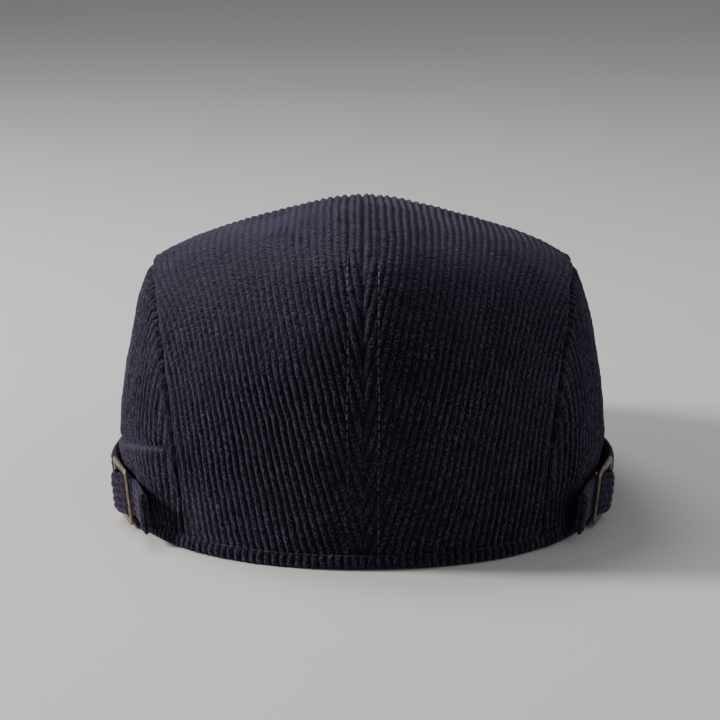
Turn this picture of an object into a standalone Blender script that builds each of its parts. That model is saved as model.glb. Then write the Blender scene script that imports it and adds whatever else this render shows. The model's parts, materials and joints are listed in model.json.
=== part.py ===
"""Flat newsboy cap in corduroy, with an adjuster strap and a metal slider at each side.

Metres, +Z up. The visor points along +Y, the nape is at -Y, and the hem stands on z = 0.
The origin is the middle of the cap's footprint. Angles round the head opening, called
theta, start at the nape and grow towards the cap's +X side: 90 degrees is the side and
180 degrees is the front.
"""

from math import atan2, copysign, cos, pi, radians, sin

import bmesh
import bpy
from mathutils import Matrix, Vector

MM = 0.001

# Head opening and outer shell, seen from above: half ovals that share one width. The
# fullness is the power on sine and cosine: 1 is an ellipse, and less is squarer.
HALF_WIDTH = 84.0 * MM
WIDEST_Y = -39.5 * MM
NAPE_REACH = 91.0 * MM
FOREHEAD_REACH = 116.0 * MM
SHELL_FRONT_REACH = 153.0 * MM
VISOR_REACH = 172.0 * MM
FULLNESS = {NAPE_REACH: 0.93, FOREHEAD_REACH: 1.0, SHELL_FRONT_REACH: 0.94, VISOR_REACH: 0.84}
VISOR_HALF_WIDTH = 85.5 * MM
CROWN_HEIGHT = 112.5 * MM
CROWN_RIDGE = 0.14
SIDE_FLARE = 0.07
SIDE_PUFF = 3.2 * MM
PUFF_HEIGHTS = (10.0 * MM, 30.0 * MM)
LINING_FLARE = 0.02

# Layers, measured inwards from the shell's outer face.
SEAM_GAP = 0.3 * MM
CORDUROY = (0.0, 1.6 * MM)
INTERLINING = (1.9 * MM, 3.2 * MM)
LINING_SETBACK = 3.6 * MM
LINING_THICK = 0.5 * MM
SWEATBAND_SETBACK = 4.7 * MM
SWEATBAND_THICK = 1.0 * MM
SWEATBAND_HEIGHT = 25.0 * MM
SWEATBAND_LEAN = 4.5 * MM

# Visor: an arched plate that falls towards its edge.
VISOR_ROOT_Y = WIDEST_Y + FOREHEAD_REACH
VISOR_CREST = 25.5 * MM
VISOR_FALL = 0.08
VISOR_ARCH_RADIUS = 131.0 * MM
VISOR_CORNER = radians(106)
BOARD_THICK = 2.0 * MM
COVER_THICK = 1.2 * MM
VISOR_SETBACK = 2.2 * MM
VISOR_STACK = BOARD_THICK / 2 + SEAM_GAP + COVER_THICK

# Hem binding: a channel folded round the lower edge.
HEM_HEIGHT = 5.0 * MM
HEM_FLOOR = 1.0 * MM
HEM_OUT = (0.45 * MM, 1.1 * MM)
HEM_IN = (6.3 * MM, 7.0 * MM)
HEM_END = radians(100)
EDGE_LIFT = HEM_FLOOR + SEAM_GAP

# Adjuster: strap, slider and keeper loop, set out round the slider's middle bar.
SLIDER_THETA = radians(72)
SLIDER_LEAN = radians(6)
SLIDER_CENTRE_UP = 11.7 * MM
SLIDER_OUT = 2.4 * MM
ADJUSTER_SEAT = HEM_OUT[1] + 0.5 * MM
FRAME_HALF_LENGTH = 12.0 * MM
FRAME_HALF_HEIGHT = 10.0 * MM
FRAME_RAIL = 1.8 * MM
FRAME_THICK = 1.2 * MM
FRAME_CORNER = 2.2 * MM
BAR_RADIUS = 0.5 * MM
STRAP_HALF_WIDTH = 7.4 * MM
STRAP_THICK = 1.2 * MM
STRAP_FRONT_THETA = radians(100)
TAIL_LENGTH = 20.0 * MM
HINGE_ALONG = 4.6 * MM
KEEPER_HALF_WIDTH = 6.6 * MM
KEEPER_THICK = 0.4 * MM

# Curves through these points run from the front edge, over the top, to the nape.
# The ends are then laid exactly on the lower edge.
CENTRE_LINE = [
    (0, 113.5, 24), (0, 109, 42), (0, 93, 62), (0, 66, 81), (0, 33, 97), (0, -3, 108),
    (0, -40, 111.7), (0, -76, 110.4), (0, -106, 101.5), (0, -125.5, 81), (0, -131.8, 52),
    (0, -131.2, 24), (0, -130.5, 1.3),
]
SIDE_SEAM = [
    (60.8, 70.6, 14), (65.5, 60, 33), (69.5, 42, 53), (72.5, 19, 69), (74.5, -6, 81),
    (75.5, -29, 86.5), (75.5, -50, 87.5), (73.5, -68, 83.5), (71, -83, 73.5), (67.8, -94, 58),
    (64.5, -101, 36), (62, -104, 16), (60, -105, 1.3),
]
LINING_CENTRE_LINE = [
    (0, 72.9, 25), (0, 72, 43), (0, 66, 61), (0, 50, 77.5), (0, 24, 92), (0, -7, 102),
    (0, -40, 107.5), (0, -74, 106), (0, -102, 96.5), (0, -119.5, 78), (0, -126.3, 52),
    (0, -127, 24), (0, -125.9, 2.8),
]
LINING_SIDE_SEAM = [
    (45, 55, 22), (53, 46, 38), (60, 32, 53), (65.5, 13, 66), (68.8, -9, 75.5),
    (70, -30, 82), (70, -50, 83.5), (68.5, -65.5, 80), (66.3, -78.5, 70.5),
    (63.6, -89, 56), (61, -96.3, 35), (58.8, -100.5, 16), (57.5, -101.7, 2.8),
]

# Mesh density.
CROWN_ACROSS = 8
CROWN_ALONG = 28
SIDE_ROWS = 12
HEM_STEPS = 44
BAND_STEPS = 80
VISOR_ALONG = 28
VISOR_ACROSS = 4

NAVY = (0.032, 0.034, 0.068)
LINING_GREY = (0.05, 0.055, 0.075)


# ---------------------------------------------------------------- materials and objects


def material(name, colour, roughness, metallic=0.0):
    made = bpy.data.materials.new(name)
    made.use_nodes = True
    shader = made.node_tree.nodes["Principled BSDF"]
    shader.inputs["Base Color"].default_value = (*colour, 1)
    shader.inputs["Roughness"].default_value = roughness
    shader.inputs["Metallic"].default_value = metallic
    return made


def add_object(name, mesh, finish, angle=40):
    """A named object in the cap's collection, shaded smooth up to the given angle."""
    mesh.name = name
    mesh.shade_smooth()
    mesh.set_sharp_from_angle(angle=radians(angle))
    mesh.materials.clear()
    mesh.materials.append(finish)
    made = bpy.data.objects.new(name, mesh)
    bpy.data.collections["newsboy_cap"].objects.link(made)
    return made


def mesh_from(bm):
    bmesh.ops.recalc_face_normals(bm, faces=bm.faces)
    if bm.calc_volume(signed=True) < 0:
        bmesh.ops.reverse_faces(bm, faces=bm.faces)
    mesh = bpy.data.meshes.new("mesh")
    bm.to_mesh(mesh)
    bm.free()
    return mesh


def slab(outer, inner, across, along):
    """A closed plate between two surfaces, each a function of u and v from 0 to 1."""
    bm = bmesh.new()
    bmesh.ops.create_grid(bm, x_segments=across, y_segments=along, size=0.5)
    for vert in bm.verts:
        vert.co.z = 1.0
    everything = bm.verts[:] + bm.edges[:] + bm.faces[:]
    raised = bmesh.ops.extrude_face_region(bm, geom=everything, use_keep_orig=True)
    for item in raised["geom"]:
        if isinstance(item, bmesh.types.BMVert):
            item.co.z = 0.0
    for vert in bm.verts:
        surface = outer if vert.co.z > 0.5 else inner
        vert.co = surface(vert.co.x + 0.5, vert.co.y + 0.5)
    return mesh_from(bm)


def ribbon(path, thickness):
    """The closed outline of a strip of even thickness that follows a path in one plane."""
    left, right = [], []
    for i, point in enumerate(path):
        before, after = path[max(i - 1, 0)], path[min(i + 1, len(path) - 1)]
        way = (after - before).normalized()
        side = Vector((-way.y, way.x)) * thickness / 2
        left.append(point + side)
        right.append(point - side)
    return left + right[::-1]


def plate(name, outlines, half_thickness, finish, bevel=0.0):
    """A flat plate from closed outlines in its own XY plane, with holes where they nest."""
    curve = bpy.data.curves.new(name, "CURVE")
    curve.dimensions = "2D"
    curve.fill_mode = "BOTH"
    curve.extrude = half_thickness
    for outline in outlines:
        spline = curve.splines.new("POLY")
        spline.points.add(len(outline) - 1)
        for point, (x, y) in zip(spline.points, outline):
            point.co = (x, y, 0, 1)
        spline.use_cyclic_u = True
    holder = bpy.data.objects.new(name, curve)
    bpy.context.scene.collection.objects.link(holder)
    graph = bpy.context.evaluated_depsgraph_get()
    mesh = bpy.data.meshes.new_from_object(holder.evaluated_get(graph))
    bpy.data.objects.remove(holder)
    bm = bmesh.new()
    bm.from_mesh(mesh)
    bmesh.ops.remove_doubles(bm, verts=bm.verts, dist=0.01 * MM)
    made = add_object(name, mesh_from(bm), finish)
    if bevel:
        edges = made.modifiers.new("rounded edges", "BEVEL")
        edges.width = bevel
        edges.segments = 1
        edges.limit_method = "ANGLE"
        edges.angle_limit = radians(50)
    return made


# ---------------------------------------------------------------- curves round the head


def smoothstep(low, high, x):
    t = min(max((x - low) / (high - low), 0.0), 1.0)
    return t * t * (3 - 2 * t)


def paced(v):
    """Packs the rows of a panel closer together towards its two ends."""
    return v - 0.5 * sin(2 * pi * v) / (2 * pi)


def through(points, t):
    """A point on the Catmull-Rom curve through the given points, in millimetres."""
    last = len(points) - 1
    at = min(max(t, 0.0), 1.0) * last
    i = min(int(at), last - 1)
    f = at - i
    b, c = Vector(points[i]), Vector(points[i + 1])
    a = Vector(points[i - 1]) if i > 0 else 2 * b - c
    d = Vector(points[i + 2]) if i + 2 <= last else 2 * c - b
    curve = 2 * b + (c - a) * f + (2 * a - 5 * b + 4 * c - d) * f**2
    curve += (3 * b - a - 3 * c + d) * f**3
    return curve * MM / 2


def signed_power(value, power):
    return copysign(abs(value) ** power, value)


def oval(theta, front_reach, inset=0.0, half_width=HALF_WIDTH):
    """A point of the outline at theta, moved in by inset."""
    reach = NAPE_REACH if cos(theta) > 0 else front_reach
    across = (half_width - inset) * signed_power(sin(theta), FULLNESS[reach])
    along = (reach - inset) * signed_power(cos(theta), FULLNESS[reach])
    return Vector((across, WIDEST_Y - along, 0))


def oval_normal(theta, front_reach):
    ahead, behind = oval(theta + 0.01, front_reach), oval(theta - 0.01, front_reach)
    along = ahead - behind
    return Vector((along.y, -along.x, 0)).normalized()


def azimuth(point, front_reach):
    """Theta of the outline point that a point of the shell stands over."""
    reach = NAPE_REACH if point.y < WIDEST_Y else front_reach
    back = 1 / FULLNESS[reach]
    across = signed_power(point.x / HALF_WIDTH, back)
    return atan2(across, signed_power((WIDEST_Y - point.y) / reach, back))


def visor_z(x, y):
    """Height of the visor board's middle."""
    return VISOR_CREST - VISOR_FALL * (y - VISOR_ROOT_Y) - x * x / (2 * VISOR_ARCH_RADIUS)


def shell_edge(theta):
    """The shell's lower edge: above the hem at the back, on the visor at the front."""
    turn = abs(theta)
    point = oval(theta, SHELL_FRONT_REACH)
    inside = point - 2 * MM * oval_normal(theta, SHELL_FRONT_REACH)
    on_visor = visor_z(inside.x, inside.y) + VISOR_STACK + 2 * SEAM_GAP
    climb = smoothstep(radians(92), radians(101), turn)
    point.z = EDGE_LIFT + (on_visor - EDGE_LIFT) * climb
    return point


def head_edge(theta, inset, lift=0.0):
    """The head opening's lower edge, which climbs over the forehead with the visor."""
    point = oval(theta, FOREHEAD_REACH, inset)
    climb = smoothstep(radians(95), radians(112), abs(theta))
    at_visor = visor_z(point.x, point.y) - VISOR_STACK
    point.z = EDGE_LIFT + (at_visor - EDGE_LIFT) * climb + lift
    return point


# ---------------------------------------------------------------- shell and lining surfaces


class Dome:
    """Two crown halves and two side panels that meet along a side seam."""

    def __init__(self, centre_line, side_seam, edge, front_reach, flare, puff):
        self.centre_line = centre_line
        self.side_seam = side_seam
        self.edge = edge
        self.front_reach = front_reach
        self.flare = flare
        self.puff = puff
        self.front_theta = azimuth(through(side_seam, 0), front_reach)
        self.nape_theta = azimuth(through(side_seam, 1), front_reach)

    def outward(self, point):
        """Unit vector out of the dome, level at the lower edge."""
        reach = NAPE_REACH if point.y < WIDEST_Y else self.front_reach
        base = self.edge(azimuth(point, self.front_reach)).z
        height = max(point.z - base, 0.0)
        gradient = (
            point.x / HALF_WIDTH**2,
            (point.y - WIDEST_Y) / reach**2,
            height / CROWN_HEIGHT**2,
        )
        return Vector(gradient).normalized()

    def seam(self, v):
        """The side seam's point and the direction that crosses it towards the side."""
        v = min(max(v, 0.0), 1.0)
        point = through(self.side_seam, v)
        front, nape = self.edge(self.front_theta), self.edge(self.nape_theta)
        point += (front - through(self.side_seam, 0)) * (1 - v) ** 6
        point += (nape - through(self.side_seam, 1)) * v**10
        step = 0.01
        along = through(self.side_seam, v + step) - through(self.side_seam, v - step)
        across = self.outward(point).cross(along).normalized()
        to_side = Vector((HALF_WIDTH, WIDEST_Y, 0)) - point
        return point, across if across.dot(to_side) > 0 else -across

    def cross_curve(self, u, v):
        start = through(self.centre_line, v)
        end, across = self.seam(v)
        end = end - across * SEAM_GAP / 2
        reach = (end - start).length
        ridge = CROWN_RIDGE * smoothstep(0.02, 0.42, v) * smoothstep(0.95, 0.6, v)
        leave = Vector((1, 0, -ridge))
        pull_a = start + leave * reach * 0.36
        pull_b = end - across * reach * 0.13
        w = 1 - u
        curve = start * w**3 + pull_a * 3 * u * w**2
        return curve + pull_b * 3 * u**2 * w + end * u**3

    def crown(self, u, v):
        """A crown half: u from the centre seam to the side seam, v from front to nape."""
        v = paced(v)
        point = self.cross_curve(u, v)
        front = self.edge(pi + (self.front_theta - pi) * u)
        nape = self.edge(self.nape_theta * u)
        point += (front - self.cross_curve(u, 0)) * (1 - v) ** 6
        point += (nape - self.cross_curve(u, 1)) * v**10
        point.x += SEAM_GAP / 2 * (1 - u)
        return point

    def side(self, v, t):
        """A side panel: v along the seam from front to nape, t from the edge to the seam."""
        top, across = self.seam(paced(v))
        top = top + across * SEAM_GAP / 2
        foot = self.edge(azimuth(top, self.front_reach))
        rise = (top - foot).length
        full = smoothstep(0, 40 * MM, rise)
        out = self.outward(foot)
        pull_a = foot + (Vector((0, 0, 1)) + out * self.flare * full) * rise * 0.36
        pull_b = top + (across * full + (foot - top).normalized() * (1 - full)) * rise * 0.15
        w = 1 - t
        curve = foot * w**3 + pull_a * 3 * t * w**2
        curve += pull_b * 3 * t**2 * w + top * t**3
        puff = self.puff * smoothstep(*PUFF_HEIGHTS, curve.z - foot.z)
        return curve + out * puff * smoothstep(1, 0.15, t) * smoothstep(30 * MM, 75 * MM, rise)

    def layer(self, surface, depth):
        def inner(u, v):
            point = surface(u, v)
            return point - self.outward(point) * depth

        return inner


SHELL = Dome(CENTRE_LINE, SIDE_SEAM, shell_edge, SHELL_FRONT_REACH, SIDE_FLARE, SIDE_PUFF)
LINING = Dome(
    LINING_CENTRE_LINE,
    LINING_SIDE_SEAM,
    lambda theta: head_edge(theta, LINING_SETBACK, 1.5 * MM),
    FOREHEAD_REACH,
    LINING_FLARE,
    0.0,
)


def mirrored(mesh):
    """The mesh's image on the cap's -X side."""
    copy = mesh.copy()
    copy.transform(Matrix.Scale(-1, 4, (1, 0, 0)))
    copy.flip_normals()
    return copy


def pair(name, mesh, finish, origin=(0, 0, 0)):
    """The same piece on both sides of the cap, about an origin on the right-hand one.

    Right is +X, as the back is faced. A moving piece's origin is on its joint's axis.
    """
    mesh.transform(Matrix.Translation(-Vector(origin)))
    right = add_object(name + "_right", mesh, finish)
    right.location = origin
    left = add_object(name + "_left", mirrored(mesh), finish)
    left.location = (-origin[0], origin[1], origin[2])


def trimmed(surface, low_u, high_u, low_v, high_v):
    def part(u, v):
        return surface(low_u + (high_u - low_u) * u, low_v + (high_v - low_v) * v)

    return part


def dome_panels(dome, prefix, depths, finish, trim):
    """Crown halves and side panels of one layer. Trim leaves off rows of cells at the rims."""
    rows, columns = trim / CROWN_ALONG, trim / CROWN_ACROSS
    crown = trimmed(dome.crown, columns / 4, 1 - columns / 4, rows, 1 - rows)
    outer, inner = (dome.layer(crown, depth) for depth in depths)
    along = CROWN_ALONG - 2 * trim
    pair(prefix[0], slab(outer, inner, CROWN_ACROSS, along), finish)

    ends = (1 + trim) / CROWN_ALONG
    side = trimmed(dome.side, ends, 1 - ends, trim * 0.04, 1 - trim * 0.03)
    outer, inner = (dome.layer(side, depth) for depth in depths)
    pair(prefix[1], slab(outer, inner, along - 2, SIDE_ROWS), finish)


# ---------------------------------------------------------------- rings and visor


def sweatband(finish):
    """The band that lies on the forehead, one closed ring."""

    def face(inset):
        def surface(u, v):
            leaning = inset + SWEATBAND_LEAN * u * u
            return head_edge(2 * pi * v - pi, leaning, SWEATBAND_HEIGHT * u)

        return surface

    mesh = slab(
        face(SWEATBAND_SETBACK), face(SWEATBAND_SETBACK + SWEATBAND_THICK), 4, BAND_STEPS
    )
    bm = bmesh.new()
    bm.from_mesh(mesh)
    joint = [f for f in bm.faces if all(abs(v.co.x) < 0.01 * MM for v in f.verts)]
    bmesh.ops.delete(bm, geom=joint, context="FACES")
    bmesh.ops.remove_doubles(bm, verts=bm.verts, dist=0.01 * MM)
    add_object("sweatband", mesh_from(bm), finish)


def size_label(finish):
    """A plain woven label sewn to the sweatband at the nape."""
    half_angle = radians(9)
    top, bottom = 22 * MM, 6 * MM
    proud = SWEATBAND_SETBACK + SWEATBAND_THICK + SEAM_GAP

    def face(inset):
        def surface(u, v):
            up = bottom + (top - bottom) * u
            leaning = inset + SWEATBAND_LEAN * (up / SWEATBAND_HEIGHT) ** 2
            return head_edge(half_angle * (2 * v - 1), leaning, up)

        return surface

    add_object("size_label", slab(face(proud), face(proud + 0.4 * MM), 1, 6), finish)


def hem_binding(finish):
    """A channel of binding round the lower edge, from one visor corner to the other."""
    section = [
        (HEM_OUT[1], 0), (HEM_OUT[1], HEM_HEIGHT), (HEM_OUT[0], HEM_HEIGHT),
        (HEM_OUT[0], HEM_FLOOR), (-HEM_IN[0], HEM_FLOOR), (-HEM_IN[0], HEM_HEIGHT),
        (-HEM_IN[1], HEM_HEIGHT), (-HEM_IN[1], 0),
    ]
    bm = bmesh.new()
    rings = []
    for i in range(HEM_STEPS + 1):
        theta = HEM_END * (2 * i / HEM_STEPS - 1)
        ring = []
        for out, up in section:
            if out > 0:
                point = oval(theta, SHELL_FRONT_REACH)
                point += oval_normal(theta, SHELL_FRONT_REACH) * out
            else:
                point = oval(theta, FOREHEAD_REACH, -out)
            point.z = up
            ring.append(bm.verts.new(point))
        rings.append(ring)
    for first, second in zip(rings, rings[1:]):
        for j in range(len(section)):
            k = (j + 1) % len(section)
            bm.faces.new((first[j], first[k], second[k], second[j]))
    bm.faces.new(rings[0])
    bm.faces.new(rings[-1][::-1])
    add_object("hem_binding", mesh_from(bm), finish)


def visor_piece(name, low, high, margin, finish):
    """One of the visor's plates, between two heights over the board's middle."""

    def face(height):
        def surface(u, v):
            theta = VISOR_CORNER + (2 * pi - 2 * VISOR_CORNER) * v
            inner = oval(theta, FOREHEAD_REACH, VISOR_SETBACK - margin * 0.2)
            outer = oval(theta, VISOR_REACH, -margin, VISOR_HALF_WIDTH)
            point = inner.lerp(outer, u)
            slope = Vector((point.x / VISOR_ARCH_RADIUS, VISOR_FALL, 1)).normalized()
            point.z = visor_z(point.x, point.y)
            return point + slope * height

        return surface

    add_object(name, slab(face(high), face(low), VISOR_ACROSS, VISOR_ALONG), finish)


def visor(board_finish, fabric_finish):
    half = BOARD_THICK / 2
    visor_piece("visor_board", -half, half, -1.5 * MM, board_finish)
    near, far = half + SEAM_GAP, half + SEAM_GAP + COVER_THICK
    visor_piece("visor_top_cover", near, far, 0.0, fabric_finish)
    visor_piece("visor_under_cover", -far, -near, 0.0, fabric_finish)


# ---------------------------------------------------------------- adjusters


def slider_frame_matrix():
    """Places the slider's own axes: X rearwards along the strap, Y out, Z up the bar."""
    out = oval_normal(SLIDER_THETA, SHELL_FRONT_REACH)
    rear = Vector((out.y, -out.x, 0))
    lean = Matrix.Rotation(-SLIDER_LEAN, 3, rear)
    up = lean @ Vector((0, 0, 1))
    centre = oval(SLIDER_THETA, SHELL_FRONT_REACH) + out * ADJUSTER_SEAT
    centre += up * SLIDER_CENTRE_UP
    axes = Matrix((rear, lean @ out, up)).transposed()
    return Matrix.LocRotScale(centre, axes, None)


SLIDER = slider_frame_matrix()


def in_slider(theta, out):
    """The slider's own X and Y of a point that stands out from the hem at theta."""
    way_out = oval_normal(theta, SHELL_FRONT_REACH)
    point = oval(theta, SHELL_FRONT_REACH) + way_out * (ADJUSTER_SEAT + out)
    point += SLIDER.to_3x3() @ Vector((0, 0, SLIDER_CENTRE_UP))
    local = SLIDER.inverted() @ point
    return Vector((local.x, local.y))


def smooth_path(points, steps):
    """Points on a smooth curve through the given ones, a few to each stretch."""
    lifted = [(p[0] / MM, p[1] / MM, 0) for p in points]
    count = steps * (len(points) - 1)
    return [through(lifted, i / count).to_2d() for i in range(count + 1)]


TAIL_WAY = Vector((1, -0.085)).normalized()
UNDER_BAR = Vector((9.4 * MM, 0.66 * MM))


def along_tail(distance):
    return UNDER_BAR + TAIL_WAY * distance


def strap_path():
    """From the stitched front end, under the front bar and over the middle bar."""
    stands_off = [(STRAP_FRONT_THETA, 0.65), (radians(95), 2.0), (radians(89.5), 2.9)]
    way_in = [in_slider(turn, out * MM) for turn, out in stands_off]
    hump = [(-14.5, 0.95), (-10.5, 0.6), (-5, 2.7), (0, 4.25), (5, 2.75)]
    way_in += [Vector((x * MM, y * MM)) for x, y in hump]
    return smooth_path(way_in + [UNDER_BAR, along_tail(1 * MM)], 3)


def keeper_path():
    """A hook round the middle bar, then flat along the shell to its stitching."""
    radius = BAR_RADIUS + 0.15 * MM + KEEPER_THICK / 2
    hook = []
    for i in range(12):
        turn = radians(235 - 290 * i / 11)
        hook.append(Vector((radius * cos(turn), SLIDER_OUT + radius * sin(turn))))
    flat = [Vector((2.2 * MM, 0.9 * MM))]
    for turn in (2.2, 3.5, 4.8):
        flat.append(in_slider(SLIDER_THETA - radians(turn), KEEPER_THICK / 2))
    return hook + smooth_path(flat, 2)


def rounded_rectangle(half_x, half_y, radius, steps=4):
    corners = []
    for quarter in range(4):
        middle_x = (half_x - radius) * (1 if quarter in (0, 3) else -1)
        middle_y = (half_y - radius) * (1 if quarter < 2 else -1)
        for i in range(steps + 1):
            turn = pi / 2 * (quarter + i / steps)
            corners.append((middle_x + radius * cos(turn), middle_y + radius * sin(turn)))
    return corners


def tail_outline():
    """The strap's free end, from its round root at the hinge line to its folded tip."""
    root, tip = along_tail(HINGE_ALONG), along_tail(HINGE_ALONG + TAIL_LENGTH)
    side = Vector((-TAIL_WAY.y, TAIL_WAY.x)) * STRAP_THICK / 2
    start = atan2(side.y, side.x)
    half_round = []
    for i in range(7):
        turn = start + pi * i / 6
        half_round.append(root + Vector((cos(turn), sin(turn))) * STRAP_THICK / 2)
    fold = 1.7
    return half_round + [tip - side * fold, tip + side * fold]


def adjuster(name, made, finish, placed=Matrix(), centre=(0, 0)):
    """Puts a plate made in the slider's axes on the right side, and its image on the left.

    The centre is the piece's origin, in the slider's X and Y.
    """
    graph = bpy.context.evaluated_depsgraph_get()
    mesh = bpy.data.meshes.new_from_object(made.evaluated_get(graph))
    bpy.data.objects.remove(made)
    mesh.transform(SLIDER @ placed)
    pair(name, mesh, finish, SLIDER @ Vector((*centre, 0)))


def adjusters(fabric_finish, tape_finish, metal_finish):
    outline = ribbon(strap_path(), STRAP_THICK)
    strap = plate("strap", [outline], STRAP_HALF_WIDTH, fabric_finish)
    adjuster("strap", strap, fabric_finish)

    outline = ribbon([along_tail(d * MM) for d in (1.5, 2.5, 3.5)], STRAP_THICK)
    drawn = plate("strap_drawn_part", [outline], STRAP_HALF_WIDTH, fabric_finish)
    adjuster("strap_drawn_part", drawn, fabric_finish, centre=UNDER_BAR)

    tail = plate("strap_tail", [tail_outline()], STRAP_HALF_WIDTH, fabric_finish)
    adjuster("strap_tail", tail, fabric_finish, centre=along_tail(HINGE_ALONG))

    outline = ribbon(keeper_path(), KEEPER_THICK)
    keeper = plate("keeper_loop", [outline], KEEPER_HALF_WIDTH, tape_finish)
    adjuster("keeper_loop", keeper, tape_finish)

    window = (FRAME_HALF_LENGTH - FRAME_RAIL, FRAME_HALF_HEIGHT - FRAME_RAIL)
    outlines = [
        rounded_rectangle(FRAME_HALF_LENGTH, FRAME_HALF_HEIGHT, FRAME_CORNER),
        rounded_rectangle(*window, FRAME_CORNER - FRAME_RAIL),
    ]
    bar_line = (0, SLIDER_OUT)
    stand = Matrix.Translation((0, SLIDER_OUT, 0)) @ Matrix.Rotation(pi / 2, 4, "X")
    frame = plate("slider_frame", outlines, FRAME_THICK / 2, metal_finish, 0.25 * MM)
    adjuster("slider_frame", frame, metal_finish, stand, bar_line)

    round_bar = [(BAR_RADIUS * cos(pi * i / 8), BAR_RADIUS * sin(pi * i / 8)) for i in range(16)]
    bar = plate("slider_middle_bar", [round_bar], window[1] - 0.25 * MM, metal_finish)
    place = Matrix.Translation((0, SLIDER_OUT, 0))
    adjuster("slider_middle_bar", bar, metal_finish, place, bar_line)


# ---------------------------------------------------------------- the cap


def main():
    for existing in list(bpy.data.objects):
        bpy.data.objects.remove(existing)
    collection = bpy.data.collections.new("newsboy_cap")
    bpy.context.scene.collection.children.link(collection)

    corduroy = material("corduroy", NAVY, 0.9)
    foam = material("interlining", (0.16, 0.16, 0.17), 0.9)
    satin = material("lining_satin", LINING_GREY, 0.45)
    cotton = material("sweatband_cotton", (0.025, 0.027, 0.04), 0.85)
    board = material("visor_board", (0.75, 0.75, 0.72), 0.6)
    tape = material("keeper_tape", (0.03, 0.032, 0.05), 0.8)
    metal = material("slider_metal", (0.42, 0.37, 0.31), 0.3, 1.0)
    woven = material("label_cloth", (0.5, 0.5, 0.52), 0.8)

    dome_panels(SHELL, ("crown", "side_panel"), CORDUROY, corduroy, 0)
    dome_panels(SHELL, ("crown_interlining", "side_interlining"), INTERLINING, foam, 1)
    dome_panels(LINING, ("crown_lining", "side_lining"), (0.0, LINING_THICK), satin, 0)
    visor(board, corduroy)
    hem_binding(corduroy)
    sweatband(cotton)
    size_label(woven)
    adjusters(corduroy, tape, metal)


main()
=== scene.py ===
"""A dark corduroy newsboy cap: its cloth, trim and metal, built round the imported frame.

Metres, +Z up, visor along +Y. Angles round the head opening, called theta, start at the
nape and grow towards +X: 90 degrees is the side and 180 degrees is the front. Right is +X.
"""

import json
from math import pi, radians

import bpy
import numpy as np
from mathutils import Matrix, Vector


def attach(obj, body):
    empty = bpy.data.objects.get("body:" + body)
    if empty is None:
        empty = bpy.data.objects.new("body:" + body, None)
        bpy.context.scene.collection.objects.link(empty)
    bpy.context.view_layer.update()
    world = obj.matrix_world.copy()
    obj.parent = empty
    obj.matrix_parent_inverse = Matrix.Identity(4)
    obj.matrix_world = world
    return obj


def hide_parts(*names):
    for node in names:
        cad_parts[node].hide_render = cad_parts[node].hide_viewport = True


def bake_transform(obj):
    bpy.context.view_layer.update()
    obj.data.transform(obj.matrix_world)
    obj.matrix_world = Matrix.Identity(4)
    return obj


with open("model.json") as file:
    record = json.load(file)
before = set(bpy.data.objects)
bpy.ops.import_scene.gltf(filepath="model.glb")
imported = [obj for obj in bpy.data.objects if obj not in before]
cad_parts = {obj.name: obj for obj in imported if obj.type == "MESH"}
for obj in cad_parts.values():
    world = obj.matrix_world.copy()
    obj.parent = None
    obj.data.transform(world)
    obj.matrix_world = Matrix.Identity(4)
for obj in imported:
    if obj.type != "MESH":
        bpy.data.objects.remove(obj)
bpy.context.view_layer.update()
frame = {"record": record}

MM = 0.001

# The cap's form, in the sizes of its frame.
HALF_WIDTH = 84.0 * MM
WIDEST_Y = -39.5 * MM
NAPE_REACH = 91.0 * MM
FOREHEAD_REACH = 116.0 * MM
SHELL_FRONT_REACH = 153.0 * MM
VISOR_REACH = 172.0 * MM
FULLNESS = {NAPE_REACH: 0.93, FOREHEAD_REACH: 1.0, SHELL_FRONT_REACH: 0.94, VISOR_REACH: 0.84}
VISOR_HALF_WIDTH = 85.5 * MM
CROWN_HEIGHT = 112.5 * MM
CROWN_RIDGE = 0.14
SIDE_FLARE = 0.07
SIDE_PUFF = 3.2 * MM
PUFF_HEIGHTS = (10.0 * MM, 30.0 * MM)
LINING_FLARE = 0.02
LINING_SETBACK = 3.6 * MM

VISOR_ROOT_Y = WIDEST_Y + FOREHEAD_REACH
VISOR_CREST = 25.5 * MM
VISOR_FALL = 0.08
VISOR_ARCH_RADIUS = 131.0 * MM
VISOR_CORNER = radians(106)
VISOR_SETBACK = 2.2 * MM
VISOR_STACK = 2.5 * MM

SWEATBAND_SETBACK = 4.7 * MM
SWEATBAND_THICK = 1.0 * MM
SWEATBAND_HEIGHT = 25.0 * MM
SWEATBAND_LEAN = 4.5 * MM
EDGE_LIFT = 1.3 * MM
HEM_END = radians(100)

SLIDER_THETA = radians(72)
SLIDER_LEAN = radians(6)
SLIDER_CENTRE_UP = 11.7 * MM
SLIDER_OUT = 2.4 * MM
ADJUSTER_SEAT = 1.6 * MM
STRAP_HALF_WIDTH = 7.4 * MM
STRAP_FRONT_THETA = radians(100)
TAIL_LENGTH = 20.0 * MM
HINGE_ALONG = 4.6 * MM

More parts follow.
